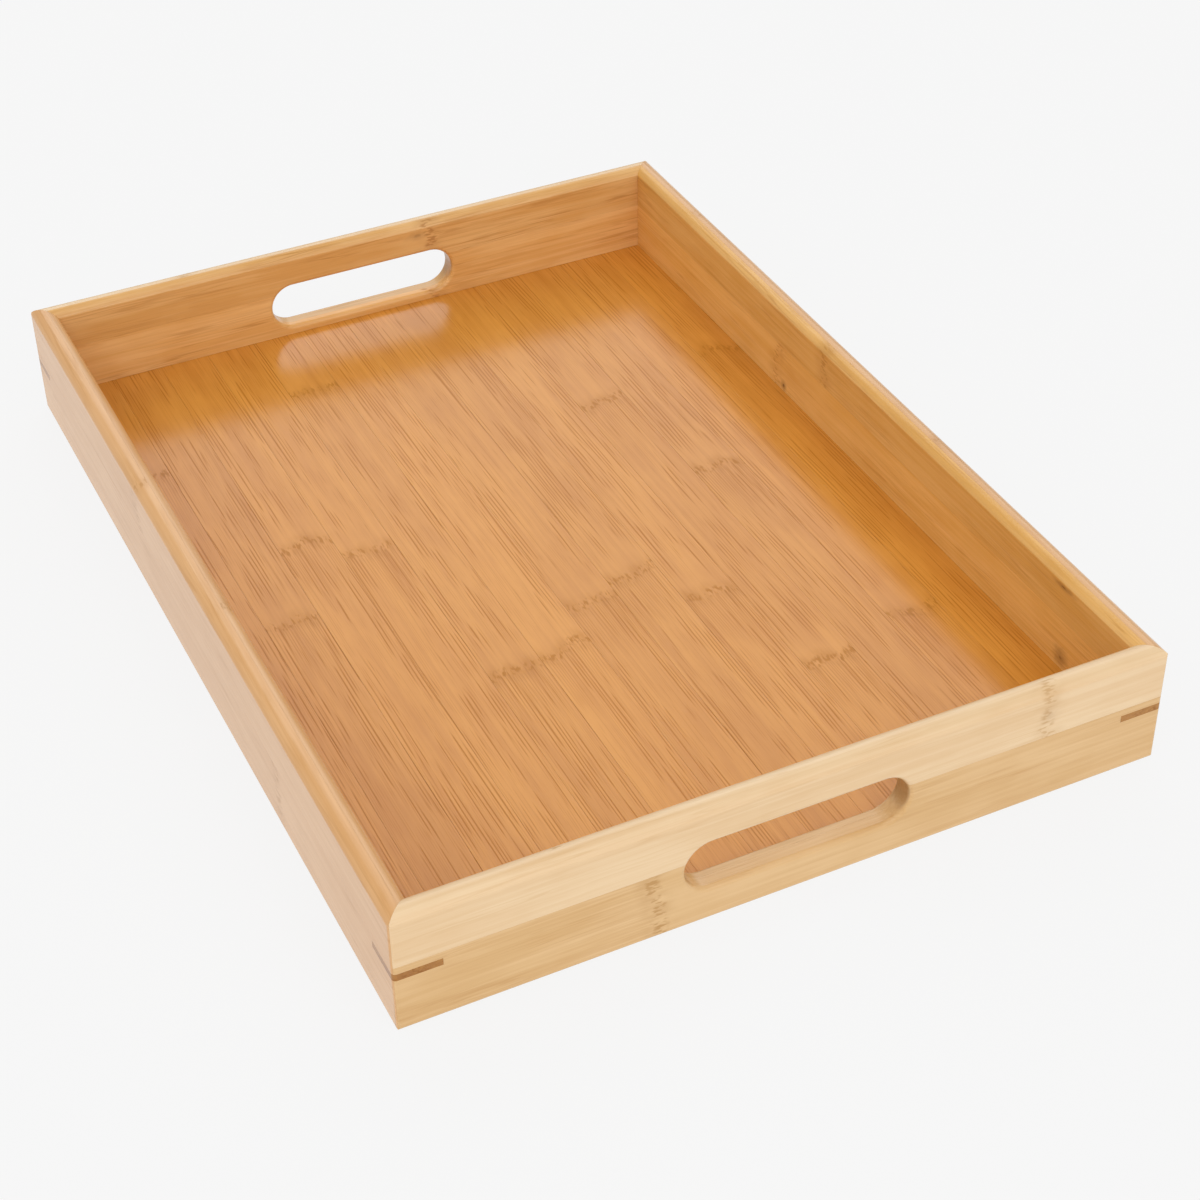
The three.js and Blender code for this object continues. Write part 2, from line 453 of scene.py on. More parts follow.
class BambooPainter:
    """Paints one strip's bamboo in a material of its own, with lengths in millimetres."""

    SEED_STEP = 200.0
    ARCH_DEPTH = 12.0
    TOOTH_DEPTH = 2.6
    MOTTLE_STRENGTH = 0.30
    FIBRE_GLOSS_LOSS = 0.45
    RELIEF_DEPTH = 0.2 * MM

    def __init__(self, name: str, tone: BambooTone, grain: StripGrain, turn: float) -> None:
        """Starts the material.

        Args:
            name: The material's name.
            tone: The batch's colours and strengths.
            grain: What makes this strip differ from the next.
            turn: The angle about +Z from +X to the strip's grain.
        """
        self.bench = ShaderBench(name)
        self.tone = tone
        self.grain = grain
        self.turn = turn
        self.place = self._along_grain()
        self.knuckle = self._from_knuckle()

    def paint(self, lacquer: Lacquer, combed: bool) -> bpy.types.Material:
        """Lays the wood's colours over one another and lacquers them.

        Args:
            lacquer: The clear coat.
            combed: Whether the vessels are evenly spaced thin lines.

        Returns:
            The material.
        """
        bench = self.bench
        fibres = self._fibres(combed)
        marks = self._knuckle_marks()
        colour = bench.blend(fibres, self._ground(), self._shaded(self.tone.fibre))
        colour = bench.blend(marks, colour, self._shaded(self.tone.knuckle))
        for knot in self.grain.knots:
            colour = bench.blend(self._knot(knot), colour, self.tone.knot)
        # End grain is painted darker; at the ends of the hand slots this darkening is also painted shade.
        colour = bench.blend(self._end_grain(), colour, self.tone.knot)
        self._surface(colour, bench.math("MAXIMUM", fibres, marks), lacquer)
        return bench.material

    def _shaded(self, colour: Colour) -> Colour:
        """A colour made lighter or darker by the strip's shade."""
        return tuple(min(1.0, channel * self.grain.shade) for channel in colour)

    def _along_grain(self) -> Socket:
        """Gives a place whose first axis runs along the grain, shifted by the seed in height only.

        Returns:
            The coordinate.
        """
        where = self.bench.node("ShaderNodeTexCoord", {}).outputs["Object"]
        shift = (0, 0, self.SEED_STEP * self.grain.seed)
        return self.bench.mapped(where, (1 / MM, 1 / MM, 1 / MM), shift, -self.turn)

    def _noise(self, pattern: Pattern) -> Socket:
        """Reads a noise whose features are long along the grain.

        Args:
            pattern: The noise's sizes, shift and octaves.

        Returns:
            The noise.
        """
        scale = (1 / pattern.long, 1 / pattern.wide, 1 / pattern.wide)
        shift = (pattern.shift, pattern.shift * 0.7, pattern.shift * 1.3)
        return self.bench.noise(self.bench.mapped(self.place, scale, shift), pattern.detail)

    def _from_knuckle(self) -> Socket | None:
        """Gives the signed distance along the grain to the nearest knuckle.

        Returns:
            The distance, or None on a strip with no knuckle.
        """
        if not self.grain.knuckles:
            return None
        bench = self.bench
        along = bench.node("ShaderNodeSeparateXYZ", {0: self.place}).outputs["X"]
        wavy = bench.line(self._noise(KNUCKLE_ARCH), self.ARCH_DEPTH, along)
        wavy = bench.line(self._noise(KNUCKLE_TOOTH), self.TOOTH_DEPTH, wavy)
        wavy = bench.math("SUBTRACT", wavy, (self.ARCH_DEPTH + self.TOOTH_DEPTH) / 2)
        nearest = bench.math("SUBTRACT", wavy, self.grain.knuckles[0])
        for knuckle in self.grain.knuckles[1:]:
            other = bench.math("SUBTRACT", wavy, knuckle)
            distances = bench.math("ABSOLUTE", other), bench.math("ABSOLUTE", nearest)
            closer = bench.math("LESS_THAN", *distances)
            nearest = bench.line(closer, bench.math("SUBTRACT", other, nearest), nearest)
        return nearest

    def _ground(self) -> Socket:
        """Mixes the wood's two ground tones in long soft streaks and a faint mottle.

        Returns:
            The ground colour.
        """
        bench = self.bench
        broad = bench.times(self._noise(BROAD_STREAKS), 0.55)
        narrow = bench.times(self._noise(NARROW_STREAKS), 0.45)
        streaks = bench.span(bench.math("ADD", broad, narrow), 0.36, 0.66)
        amount = bench.math("MULTIPLY", streaks, self.tone.streak_strength * 2, clamp=True)
        mottle = bench.times(bench.span(self._noise(MOTTLE), 0.38, 0.66), self.MOTTLE_STRENGTH)
        both = bench.math("ADD", amount, mottle, clamp=True)
        return bench.blend(both, self._shaded(self.tone.light), self._shaded(self.tone.deep))

    def _vessels(self, pattern: Pattern, half_width: float) -> Socket:
        """Draws thin lines along the grain, where a long soft pattern crosses its middle value.

        Args:
            pattern: The lines' usual length and spacing, and their shift.
            half_width: How far from the middle value a line fades out.

        Returns:
            How much of a line shows, 0 to 1.
        """
        bench = self.bench
        off_line = bench.math("ABSOLUTE", bench.math("SUBTRACT", self._noise(pattern), 0.5))
        return bench.rest(bench.span(off_line, half_width * 0.3, half_width))

    def _comb(self, pattern: Pattern, life: object) -> Socket:
        """Draws evenly spaced thin lines along the grain, each of which comes and goes on its own.

        Args:
            pattern: The lines' usual length and spacing, and their shift.
            life: How crowded the lines are here, 0 to 1.

        Returns:
            How much of a line shows, 0 to 1.
        """
        bench = self.bench
        axes = bench.node("ShaderNodeSeparateXYZ", {0: self.place})
        sway = self._noise(Pattern(120, 7, pattern.shift, detail=1.0))
        steps = bench.math("DIVIDE", axes.outputs["Y"], pattern.wide)
        phase = bench.line(sway, 3.2 / pattern.wide, steps)
        line = bench.math("FLOOR", phase)
        within = bench.math("SUBTRACT", phase, line)
        off_line = bench.math("ABSOLUTE", bench.math("SUBTRACT", within, 0.5))
        along_line = bench.node("ShaderNodeCombineXYZ", {
            "X": bench.math("DIVIDE", axes.outputs["X"], pattern.long),
            "Y": bench.times(line, 3.7),
            "Z": bench.line(axes.outputs["Z"], 0.013, pattern.shift),
        })
        own = bench.noise(along_line.outputs["Vector"], pattern.detail)
        alive = bench.span(bench.line(life, 0.22, own), 0.58, 0.76)
        width = bench.line(alive, 0.15, 0.10)
        mark = bench.math("SUBTRACT", 1.0, bench.math("DIVIDE", off_line, width), clamp=True)
        return bench.times(bench.math("POWER", mark, 0.7), alive)

    def _fibres(self, combed: bool) -> Socket:
        """Draws the thin dark vessels that run along the grain, crowded here and sparse there.

        Args:
            combed: Whether they are evenly spaced thin lines.

        Returns:
            How much fibre shows, 0 to 1.
        """
        bench = self.bench
        crowding = bench.span(self._noise(CROWDING), 0.36, 0.62)
        if combed:
            bold = self._comb(BOLD_COMB, crowding)
            fine = bench.times(self._comb(FINE_COMB, 0.7), 0.42)
            dense = self._comb(DENSE_COMB, 1.6)
        else:
            unbroken = bench.line(bench.span(self._noise(BREAKS), 0.38, 0.56), 0.75, 0.25)
            unbroken = bench.times(unbroken, bench.line(crowding, 0.82, 0.18))
            bold = bench.times(self._vessels(BOLD_VESSELS, 0.050), unbroken)
            fine = bench.times(self._vessels(FINE_VESSELS, 0.075), bench.line(crowding, 0.25, 0.20))
            dense = self._vessels(DENSE_VESSELS, 0.085)
        lines = bench.math("MAXIMUM", bold, fine)
        if self.knuckle is not None:
            beyond = bench.rest(bench.span(self.knuckle, 8.0, 26.0))
            smooth_side = bench.times(bench.span(self.knuckle, -2.0, 1.5), beyond)
            lines = bench.times(lines, bench.line(smooth_side, -0.85, 1.0))
            before = bench.rest(bench.span(self.knuckle, -5.0, -1.0))
            dense_side = bench.times(bench.span(self.knuckle, -48.0, -10.0), before)
            dense = bench.times(bench.times(dense, dense_side), 0.58)
            lines = bench.math("MAXIMUM", lines, dense)
        return bench.math("MULTIPLY", lines, self.tone.fibre_strength, clamp=True)

    def _knuckle_marks(self) -> object:
        """Draws the flecked band across the strip where the stem had a joint.

        Returns:
            How much of the knuckle's dark tone shows, 0 to 1.
        """
        if self.knuckle is None:
            return 0.0
        bench = self.bench
        far = bench.math("ABSOLUTE", self.knuckle)
        chain = bench.rest(bench.span(far, 1.2, 4.4))
        commas = bench.times(chain, bench.span(self._noise(KNUCKLE_COMMAS), 0.43, 0.62))
        patches = bench.times(bench.span(self._noise(KNUCKLE_STAIN), 0.30, 0.66), 0.46)
        stain = bench.times(bench.rest(bench.span(far, 1.0, 9.0)), patches)
        marks = bench.math("MAXIMUM", commas, stain)
        return bench.math("MULTIPLY", marks, self.tone.knuckle_strength, clamp=True)

    def _knot(self, knot: Knot) -> Socket:
        """Draws one dark spot with a ragged, faded rim.

        Args:
            knot: The spot.

        Returns:
            How much of the spot's tone shows, 0 to 1.
        """
        bench = self.bench
        squeeze = {0: self.place, 1: (1 / knot.stretch, 0, 1)}
        flat = bench.node("ShaderNodeVectorMath", squeeze, operation="MULTIPLY").outputs["Vector"]
        centre = (knot.along / knot.stretch, 0, knot.up + self.SEED_STEP * self.grain.seed)
        apart = bench.node("ShaderNodeVectorMath", {0: flat, 1: centre}, operation="DISTANCE")
        ragged = bench.line(self._noise(KNOT_RIM), knot.radius * 1.1, apart.outputs["Value"])
        core = bench.rest(bench.span(ragged, knot.radius * 0.6, knot.radius * 1.1))
        halo = bench.rest(bench.span(ragged, knot.radius * 0.9, knot.radius * 2.3))
        halo = bench.times(halo, 0.42 * knot.depth)
        return bench.math("MULTIPLY_ADD", core, 0.45 * knot.depth, halo, clamp=True)

    def _end_grain(self) -> Socket:
        """Finds where the surface cuts across the grain, as it does at the ends of a hand slot, and
        paints it darker: end grain is darker, and at the slot's ends this is also painted shade.

        Returns:
            How much darker the end grain is painted, 0 to 1, painted shade included at the slot's ends.
        """
        bench = self.bench
        normal = bench.node("ShaderNodeTexCoord", {}).outputs["Normal"]
        both = {0: normal, 1: (math.cos(self.turn), math.sin(self.turn), 0)}
        facing = bench.node("ShaderNodeVectorMath", both, operation="DOT_PRODUCT")
        across = bench.math("ABSOLUTE", facing.outputs["Value"])
        return bench.times(bench.span(across, 0.6, 1.0), 0.42)

    def _surface(self, colour: Socket, fibres: Socket, lacquer: Lacquer) -> None:
        """Joins the colour and the grain's faint relief to the lacquered surface.

        Args:
            colour: The wood's colour.
            fibres: How much fibre shows.
            lacquer: The clear coat.
        """
        bench = self.bench
        depth = {"Height": fibres, "Strength": lacquer.grain_relief, "Distance": self.RELIEF_DEPTH}
        relief = bench.node("ShaderNodeBump", depth, invert=True)
        shader = bench.node("ShaderNodeBsdfPrincipled", {
            "Base Color": colour,
            "Normal": relief.outputs["Normal"],
            "Specular IOR Level": bench.line(fibres, -self.FIBRE_GLOSS_LOSS, 0.5),
            "Roughness": lacquer.roughness,
            "IOR": lacquer.ior,
        })
        bench.node("ShaderNodeOutputMaterial", {"Surface": shader.outputs["BSDF"]})


@dataclass(frozen=True)
class BambooFinish:
    """Lacquered bamboo: lengthwise vessels, tone streaks, and a knuckle where the stem had a joint."""

    tone: BambooTone
    lacquer: Lacquer
    combed: bool = False

    def material(self, name: str, grain: StripGrain, turn: float) -> bpy.types.Material:
        """Makes the material of one strip, whose grain is turned about +Z from +X."""
        return BambooPainter(name, self.tone, grain, turn).paint(self.lacquer, self.combed)


PALE = BambooTone(
    light=(0.82, 0.60, 0.36), deep=(0.76, 0.52, 0.285),
    fibre=(0.62, 0.38, 0.17), knuckle=(0.52, 0.29, 0.11),
    fibre_strength=0.30, streak_strength=0.45, knuckle_strength=0.60,
)
HONEY = BambooTone(
    light=(0.75, 0.49, 0.235), deep=(0.67, 0.41, 0.17),
    fibre=(0.50, 0.26, 0.09), knuckle=(0.42, 0.21, 0.06),
    fibre_strength=0.42, streak_strength=0.50, knuckle_strength=0.65,
)
TAWNY = BambooTone(
    light=(0.76, 0.44, 0.20), deep=(0.69, 0.37, 0.145),
    fibre=(0.50, 0.24, 0.075), knuckle=(0.44, 0.20, 0.05),
    fibre_strength=0.38, streak_strength=0.45, knuckle_strength=0.50,
)
AMBER = BambooTone(
    light=(0.80, 0.48, 0.19), deep=(0.71, 0.38, 0.12),
    fibre=(0.46, 0.20, 0.05), knuckle=(0.38, 0.15, 0.04),
    fibre_strength=0.55, streak_strength=0.50, knuckle_strength=0.65,
)
TOFFEE = BambooTone(
    light=(0.84, 0.485, 0.155), deep=(0.75, 0.40, 0.10),
    fibre=(0.46, 0.19, 0.04), knuckle=(0.40, 0.16, 0.03),
    fibre_strength=0.40, streak_strength=0.50, knuckle_strength=0.55,
)
BASE_BAMBOO = BambooTone(
    light=(0.69, 0.296, 0.045), deep=(0.598, 0.238, 0.031),
    fibre=(0.38, 0.125, 0.010), knuckle=(0.40, 0.15, 0.014),
    fibre_strength=0.70, streak_strength=0.40, knuckle_strength=0.66,
)
KEY_WOOD = BambooTone(
    light=(0.47, 0.21, 0.035), deep=(0.38, 0.15, 0.020),
    fibre=(0.24, 0.08, 0.01), knuckle=(0.2, 0.08, 0.03),
    fibre_strength=0.5, streak_strength=0.5,
)
SATIN = Lacquer(roughness=0.24)
GLOSS = Lacquer(roughness=0.20, grain_relief=0.04)


# ---- Sizes, read from the frame ----


@dataclass(frozen=True)
class TraySizes:
    """The tray's sizes, worked out from the frame's boxes."""

    width: float
    length: float
    height: float
    rail_thickness: float
    ply_joint: float
    outer_joint_height: float
    inner_joint_height: float
    base_top: float
    base_bottom: float
    seat: float
    key_low: float
    key_high: float
    key_leg: float

    @classmethod
    def from_frame(cls) -> "TraySizes":
        """Measures the frame's nodes.

        Returns:
            The sizes.
        """
        outer_upper, outer_lower, inner_upper, inner_lower = (
            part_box(f"front_rail_{ply.value}_{level.value}_strip") for ply in Ply for level in Level
        )
        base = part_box("base_strip_01")
        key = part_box("front_left_corner_key")
        low, high = Vector(CAD_BOX[0]), Vector(CAD_BOX[1])
        thickness = inner_upper[1].y - low.y
        return cls(
            width=high.x - low.x,
            length=high.y - low.y,
            height=high.z - low.z,
            rail_thickness=thickness,
            ply_joint=(outer_upper[1].y + inner_upper[0].y) / 2 - low.y,
            outer_joint_height=(outer_upper[0].z + outer_lower[1].z) / 2,
            inner_joint_height=(inner_upper[0].z + inner_lower[1].z) / 2,
            base_top=base[1].z,
            base_bottom=base[0].z,
            seat=low.x + thickness - base[0].x,
            key_low=key[0].z,
            key_high=key[1].z,
            key_leg=key[1].x - key[0].x,
        )


# ---- The tray's sub-assemblies ----


def dress(
    piece: Piece, finish: BambooFinish, grain: StripGrain, turn: float, node: str
) -> None:
    """Gives a shaped piece its surface and its bamboo, hangs it on the tray's body and hides the frame's
    node that it stands for.

    Args:
        piece: The piece, in its place.
        finish: Its finish.
        grain: What makes it differ from the others.
        turn: The angle about +Z from +X to its grain.
        node: The frame's node.
    """
    finish_surface(piece)
    piece.data.materials.clear()
    piece.data.materials.append(finish.material(piece.name, grain, turn))
    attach(piece, BODY)
    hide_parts(node)


def tray_outline(sizes: TraySizes, across: float, along: float, corner_radius: float) -> Piece:
    """Makes the block that holds the whole tray, with its four upright corners eased.

    Args:
        sizes: The tray's sizes.
        across: The block's length along X.
        along: The block's length along Y.
        corner_radius: The radius of the upright corners.

    Returns:
        The block.
    """
    half = Vector((across / 2, along / 2, 0))
    made = block("outline", -half - Vector((0, 0, PAST)), half + Vector((0, 0, sizes.height + PAST)))
    with editing(made, "EDGE") as mesh:
        pick_edges(mesh, lambda a, b: abs(a.z - b.z) > sizes.height)
        bpy.ops.mesh.bevel(offset=corner_radius, segments=6, profile=0.5, affect="EDGES")
    return made


def corner_wedge(corner: Vector, inward: Vector, leg: float) -> Piece:
    """Makes a flat right-angled triangle whose legs run along two outer faces, and stand out past them.

    Args:
        corner: The corner at the wedge's lowest height.
        inward: The signs of X and Y towards the tray, and the wedge's thickness as Z.
        leg: The length of each leg.

    Returns:
        The wedge.
    """
    reach = Vector((inward.x * (leg + PAST), inward.y * (leg + PAST), inward.z))
    back = Vector((inward.x * PAST, inward.y * PAST, 0))
    ends = (corner - back, corner + reach)
    low = Vector(tuple(min(a, b) for a, b in zip(*ends)))
    high = Vector(tuple(max(a, b) for a, b in zip(*ends)))
    made = block("wedge", low, high)
    saw(made, corner + Vector((inward.x * leg, 0, 0)), Vector((inward.x, inward.y, 0)).normalized())
    return made


@dataclass
class RailPattern:
    """The four strips of a mitred rail, modelled once as the front or the right-hand rail is made."""

    sizes: TraySizes
    is_short: bool
    crown_rise: float = 3.0 * MM
    crown_facets: int = 132
    arris_radius: float = 0.5 * MM
    bottom_radius: float = 1.8 * MM
    corner_radius: float = CORNER_RADIUS
    slot_length: float = 89 * MM
    slot_height: float = 21 * MM
    slot_centre: float = 25.5 * MM
    slot_edge_radius: float = 2.0 * MM
    groove_clearance: float = 0.1 * MM
    groove_end_clearance: float = 0.4 * MM
    key_clearance: float = 0.02 * MM

    @property
    def length(self) -> float:
        """The rail's length along its outer face."""
        return self.sizes.width if self.is_short else self.sizes.length

    @property
    def depth(self) -> float:
        """The distance from this rail's outer face to the opposite rail's."""
        return self.sizes.length if self.is_short else self.sizes.width

    @property
    def outer_face(self) -> float:
        """Y of the outer face while the rail is worked on at the front."""
        return -self.depth / 2

    @property
    def inner_face(self) -> float:
        """Y of the inner face while the rail is worked on at the front."""
        return self.outer_face + self.sizes.rail_thickness

    def build(self) -> StripSet:
        """Models the rail as if it stood at the front and saws it into its strips.

        Returns:
            The four bare strips.
        """
        blank = self._moulding()
        if self.is_short:
            self._cut_hand_slot(blank)
        self._plough_groove(blank)
        self._cut_key_slots(blank)
        outline = tray_outline(self.sizes, self.length, self.depth, self.corner_radius)
        combine(blank, outline, "INTERSECT")
        self._mitre(blank)
        strips = {(ply, level): self._strip(blank, ply, level) for ply in Ply for level in Level}
        remove(blank)
        return strips

    def _moulding(self) -> Piece:
        """Draws the rail's section, with its crowned top, and extrudes it to the rail's length.

        Returns:
            The square-ended moulding.
        """
        thickness = self.sizes.rail_thickness
        radius = (thickness**2 / 4 + self.crown_rise**2) / (2 * self.crown_rise)
        spring = self.sizes.height - self.crown_rise
        centre = Vector((-self.length / 2, self.outer_face + thickness / 2, self.sizes.height - radius))
        deselect_all()
        bpy.ops.mesh.primitive_circle_add(
            vertices=self.crown_facets, radius=radius, fill_type="NGON", location=centre,
            rotation=(0, math.pi / 2, 0),
        )
        moulding = bpy.context.active_object
        moulding.name = "rail_blank"
        apply_place(moulding)
        with editing(moulding, pick="SELECT"):
            bpy.ops.mesh.bisect(
                plane_co=(0, 0, spring), plane_no=(0, 0, -1), clear_outer=True, threshold=PLANE
            )
        with editing(moulding) as mesh:
            pick_verts(mesh, lambda p: abs(p.z - spring) < NEAR)
            bpy.ops.mesh.extrude_region_move(TRANSFORM_OT_translate={"value": (0, 0, -spring)})
            bpy.ops.mesh.select_all(action="SELECT")
            bpy.ops.mesh.dissolve_faces()
        with editing(moulding) as mesh:
            pick_verts(mesh, lambda p: abs(p.z) < NEAR)
            bpy.ops.mesh.bevel(offset=self.bottom_radius, segments=5, profile=0.5, affect="VERTICES")
        with editing(moulding) as mesh:
            pick_verts(mesh, lambda p: abs(p.z - spring) < NEAR)
            bpy.ops.mesh.bevel(offset=self.arris_radius, segments=3, profile=0.5, affect="VERTICES")
        with editing(moulding, pick="SELECT"):
            bpy.ops.mesh.extrude_region_move(TRANSFORM_OT_translate={"value": (self.length, 0, 0)})
            bpy.ops.mesh.select_all(action="SELECT")
            bpy.ops.mesh.normals_make_consistent(inside=False)
        return moulding

    def _cut_hand_slot(self, blank: Piece) -> None:
        """Cuts the stadium-shaped hand slot and rounds its edges on both faces.

        Args:
            blank: The rail.
        """
        half = Vector((self.slot_length / 2, 0, self.slot_height / 2))
        through = Vector((0, PAST, 0))
        low = Vector((0, self.outer_face, self.slot_centre)) - half - through
        high = Vector((0, self.inner_face, self.slot_centre)) + half + through
        cutter = block("hand_slot", low, high)
        with editing(cutter, "EDGE") as mesh:
            pick_edges(mesh, lambda a, b: abs(a.y - b.y) > self.sizes.rail_thickness)
            bpy.ops.mesh.bevel(offset=self.slot_height / 2, segments=24, profile=0.5, affect="EDGES")
        merge_doubles(cutter)
        combine(blank, cutter, "DIFFERENCE")
        reach = half.x + 0.1 * MM
        rise = half.z + 0.1 * MM

        def on_rim(point: Vector, face: float) -> bool:
            """Whether a point is on the slot's edge at the given face."""
            on_face = abs(point.y - face) < NEAR
            return on_face and abs(point.x) < reach and abs(point.z - self.slot_centre) < rise

        with editing(blank, "EDGE") as mesh:
            for face in (self.outer_face, self.inner_face):
                pick_edges(mesh, lambda a, b, face=face: on_rim(a, face) and on_rim(b, face))
            bpy.ops.mesh.bevel(
                offset=self.slot_edge_radius, segments=6, profile=0.5, affect="EDGES", clamp_overlap=False
            )

    def _plough_groove(self, blank: Piece) -> None:
        """Cuts the groove that holds the base panel's edge.

        Args:
            blank: The rail.
        """
        depth = self.sizes.seat + self.groove_end_clearance
        floor = self.sizes.base_bottom - self.groove_clearance
        roof = self.sizes.base_top + self.groove_clearance
        low = Vector((-self.length, self.inner_face - depth, floor))
        high = Vector((self.length, self.inner_face + PAST, roof))
        combine(blank, block("groove", low, high), "DIFFERENCE")

    def _cut_key_slots(self, blank: Piece) -> None:
        """Cuts the two corner key slots into the rail's ends.

        Args:
            blank: The rail.
        """
        floor = self.sizes.key_low - self.key_clearance
        thickness = self.sizes.key_high - self.sizes.key_low + 2 * self.key_clearance
        leg = self.sizes.key_leg + self.key_clearance * math.sqrt(2)
        for hand in (-1, 1):
            corner = Vector((hand * self.length / 2, self.outer_face, floor))
            combine(blank, corner_wedge(corner, Vector((-hand, 1, thickness)), leg), "DIFFERENCE")

    def _mitre(self, blank: Piece) -> None:
        """Saws both ends of the rail at 45 degrees.

        Args:
            blank: The rail.
        """
        for hand in (-1, 1):
            toe = Vector((hand * (self.length / 2 - HAIRLINE / 2), self.outer_face, 0))
            saw(blank, toe, Vector((hand, 1, 0)).normalized())

    def _strip(self, blank: Piece, ply: Ply, level: Level) -> Piece:
        """Saws one strip out of a copy of the rail.

        Args:
            blank: The whole rail.
            ply: The strip's layer.
            level: The strip's place in that layer.

        Returns:
            The bare strip.
        """
        strip = copy_of(blank, f"{ply.value}_{level.value}_pattern")
        joint = self.outer_face + self.sizes.ply_joint
        half = HAIRLINE / 2
        if ply is Ply.OUTER:
            saw(strip, Vector((0, joint - half, 0)), Vector((0, 1, 0)))
            height = self.sizes.outer_joint_height
        else:
            saw(strip, Vector((0, joint + half, 0)), Vector((0, -1, 0)))
            height = self.sizes.inner_joint_height
        if level is Level.UPPER:
            saw(strip, Vector((0, 0, height + half)), Vector((0, 0, -1)))
        else:
            saw(strip, Vector((0, 0, height - half)), Vector((0, 0, 1)))
        return strip


@dataclass
class Rail:
    """One rail of the tray: copies of the pattern's strips, turned to their side and dressed."""

    side: Side
    pattern: StripSet
    looks: dict[tuple[Ply, Level], tuple[BambooTone, StripGrain]]
    lacquer: Lacquer = SATIN

    def build(self) -> list[Piece]:
        """Copies and dresses the rail's four strips."""
        return [self._strip(ply, level) for ply, level in self.pattern]

    def _strip(self, ply: Ply, level: Level) -> Piece:
        """Copies one strip, turns it into place and gives it its bamboo.

        Args:
            ply: The strip's layer.
            level: The strip's place in that layer.

        Returns:
            The finished strip.
        """
        name = f"{self.side.label}_rail_{ply.value}_{level.value}"
        strip = copy_of(self.pattern[ply, level], f"{name}_bamboo")
        strip.rotation_euler.z = self.side.turn
        apply_place(strip)
        tone, grain = self.looks[ply, level]
        dress(strip, BambooFinish(tone, self.lacquer), grain, self.side.turn, f"{name}_strip")
        return strip


@dataclass
class BasePanel:
    """The base: strips glued edge to edge, flush on top, under a gloss lacquer."""

    sizes: TraySizes
    grains: tuple[StripGrain, ...]
    edge_ease: float = 0.05 * MM
    lacquer: Lacquer = GLOSS

    def build(self) -> list[Piece]:
        """Models one strip, then copies it across the panel.

        Returns:
            The strips, from left to right.
        """
        pattern = self._pattern()
        strips = [
            self._strip(pattern, number, grain) for number, grain in enumerate(self.grains, start=1)
        ]
        remove(pattern)
        return strips

    def _pattern(self) -> Piece:
        """Models the first strip, with its long edges eased.

        Returns:
            The bare strip.
        """
        low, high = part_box("base_strip_01")
        spread = Vector((HAIRLINE / 2, 0, 0))
        pattern = block("base_pattern", low - spread, high + spread)
        with editing(pattern, "EDGE") as mesh:
            pick_edges(mesh, lambda a, b: abs(a.y - b.y) > self.sizes.length / 2)
            bpy.ops.mesh.bevel(offset=self.edge_ease, segments=2, profile=0.5, affect="EDGES")
        return pattern

    def _strip(self, pattern: Piece, number: int, grain: StripGrain) -> Piece:
        """Copies the strip to its place and gives it its own bamboo.

        Args:
            pattern: The bare strip.
            number: The strip's number, from the left.
            grain: What makes it differ from the others.

        Returns:
            The finished strip.
        """
        node = f"base_strip_{number:02d}"
        strip = copy_of(pattern, f"base_bamboo_{number:02d}")
        strip.location.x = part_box(node)[0].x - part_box("base_strip_01")[0].x
        apply_place(strip)
        finish = BambooFinish(BASE_BAMBOO, self.lacquer, combed=True)
        dress(strip, finish, grain, math.pi / 2, node)
        return strip


@dataclass
class CornerKeys:
    """The four keys glued across the mitres."""

    sizes: TraySizes
    corner_radius: float = CORNER_RADIUS
    lacquer: Lacquer = SATIN
    corners: ClassVar[dict[str, tuple[int, int]]] = {
        "front_left": (-1, -1), "front_right": (1, -1), "back_right": (1, 1), "back_left": (-1, 1),
    }

    def build(self) -> list[Piece]:
        """Models one key, then copies it to the four corners.

        Returns:
            The keys.
        """
        pattern = self._pattern()
        keys = [
            self._key(pattern, place, name, *signs)
            for place, (name, signs) in enumerate(self.corners.items())
        ]
        remove(pattern)
        return keys

    def _corner(self, side_x: int, side_y: int) -> Vector:
        """The tray's corner at the keys' lowest height."""
        return Vector((side_x * self.sizes.width / 2, side_y * self.sizes.length / 2, self.sizes.key_low))

    def _pattern(self) -> Piece:
        """Models the front left key, trimmed flush with the rails' outer faces.

        Returns:
            The bare key.
        """
        thickness = self.sizes.key_high - self.sizes.key_low
        pattern = corner_wedge(self._corner(-1, -1), Vector((1, 1, thickness)), self.sizes.key_leg)
        outline = tray_outline(self.sizes, self.sizes.width, self.sizes.length, self.corner_radius)
        combine(pattern, outline, "INTERSECT")
        return pattern

    def _key(self, pattern: Piece, place: int, name: str, side_x: int, side_y: int) -> Piece:
        """Copies the key to one corner and dresses it.

        Args:
            pattern: The bare front left key.
            place: How many corners anticlockwise from the front left one.
            name: The corner's name.
            side_x: Which side of the tray it is on, along X.
            side_y: Which side of the tray it is on, along Y.

        Returns:
            The finished key.
        """
        key = copy_of(pattern, f"{name}_key_wood")
        turn = Matrix.Rotation(place * math.pi / 2, 3, "Z")
        key.rotation_euler.z = place * math.pi / 2
        key.location = self._corner(side_x, side_y) - turn @ self._corner(-1, -1)
        key.location.z = 0
        apply_place(key)
        grain = StripGrain(seed=side_x + 2.5 * side_y)
        diagonal = math.atan2(-side_x, side_y)
        dress(key, BambooFinish(KEY_WOOD, self.lacquer), grain, diagonal, f"{name}_corner_key")
        return key


# ---- Studio ----


def away_from_tray(azimuth: float, elevation: float) -> Vector:
    """Gives a direction from the tray. Azimuth 0 is in front of it and 90 is to its right.

    Args:
        azimuth: The angle round the tray in degrees.
        elevation: The angle above the table in degrees.

    Returns:
        The direction, of length one.
    """
    azimuth, elevation = math.radians(azimuth), math.radians(elevation)
    level = math.cos(elevation)
    return Vector((math.sin(azimuth) * level, -math.cos(azimuth) * level, math.sin(elevation)))


